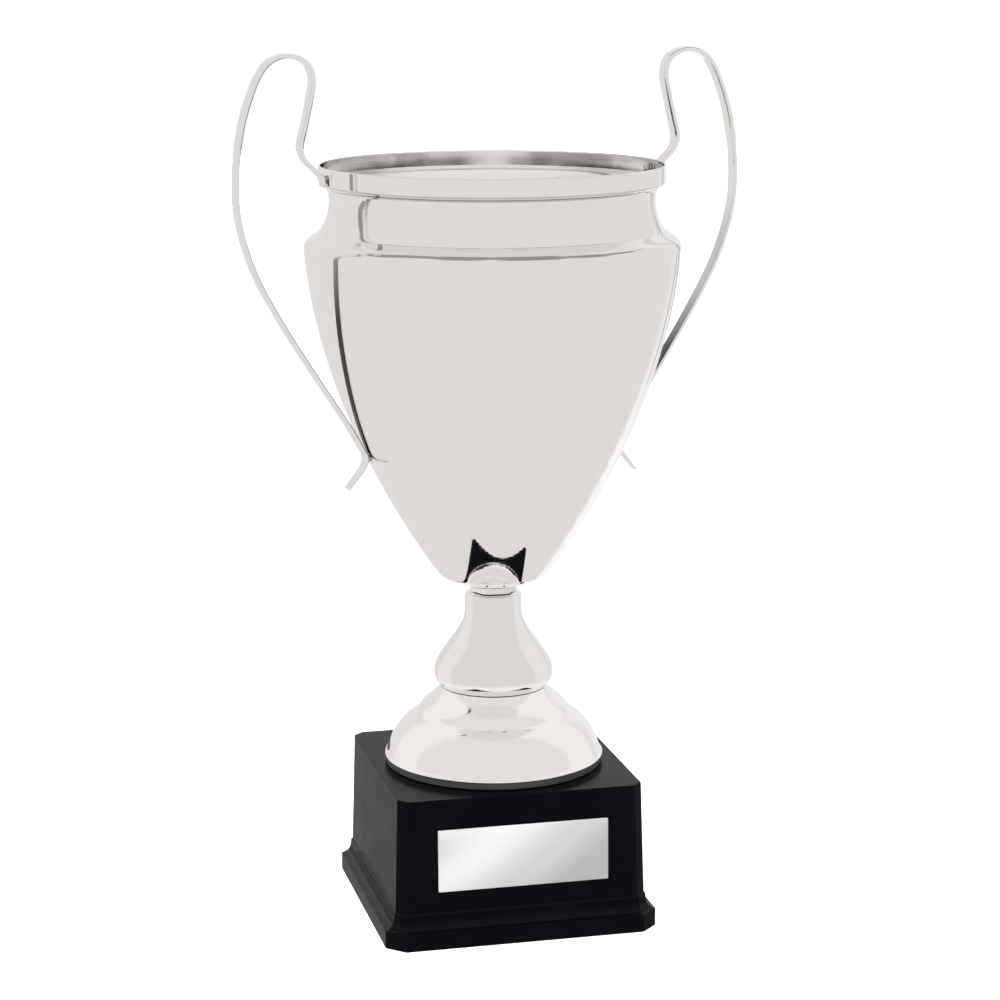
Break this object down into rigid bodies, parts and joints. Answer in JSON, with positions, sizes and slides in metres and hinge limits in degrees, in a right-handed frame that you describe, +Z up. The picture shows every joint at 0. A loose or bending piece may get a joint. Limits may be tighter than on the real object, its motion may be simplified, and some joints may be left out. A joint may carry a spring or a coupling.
{
  "type": "cup trophy",
  "caption": "Tall spun-metal presentation cup with two high strip handles, a knopped stem and a domed foot on a square black plinth with a blank engraving plate.",
  "frame": {"origin": "centre of the plinth's underside, on the vertical axis that bowl, stem, foot and plinth share", "axes": "+Z up the cup's axis; +X and +Y square to the plinth's sides; the engraving plate faces -Y; the handles' plane is turned 7 degrees counter-clockwise from X, seen from above"},
  "size_m": [0.212, 0.1512, 0.3515],
  "materials": {
    "bowl": "polished",
    "stem": "polished",
    "foot": "polished",
    "handle": "polished",
    "plate": "satin",
    "fastener": "satin",
    "plinth": "gloss",
    "disc": "satin",
    "ballast": "matte",
    "board": "matte",
    "felt": "matte",
    "adhesive": "matte"
  },
  "bodies": {
    "root": {"bowl": "bowl", "handle_left": "handle", "handle_right": "handle", "handle_screw_upper_left": "fastener", "handle_screw_upper_right": "fastener", "handle_screw_lower_left": "fastener", "handle_screw_lower_right": "fastener", "handle_washer_upper_left": "fastener", "handle_washer_upper_right": "fastener", "handle_washer_lower_left": "fastener", "handle_washer_lower_right": "fastener", "bowl_washer": "fastener", "spring_washer": "fastener", "rod_nut_upper": "fastener", "rod_nut_lower": "fastener", "plinth_washer": "fastener", "tie_rod": "fastener", "collar_nut": "stem", "stem": "stem", "foot": "foot", "seat_disc": "disc", "plinth": "plinth", "ballast_block": "ballast", "base_board": "board", "base_felt": "felt", "engraving_plate": "plate", "plate_adhesive": "adhesive"}
  },
  "joints": []
}
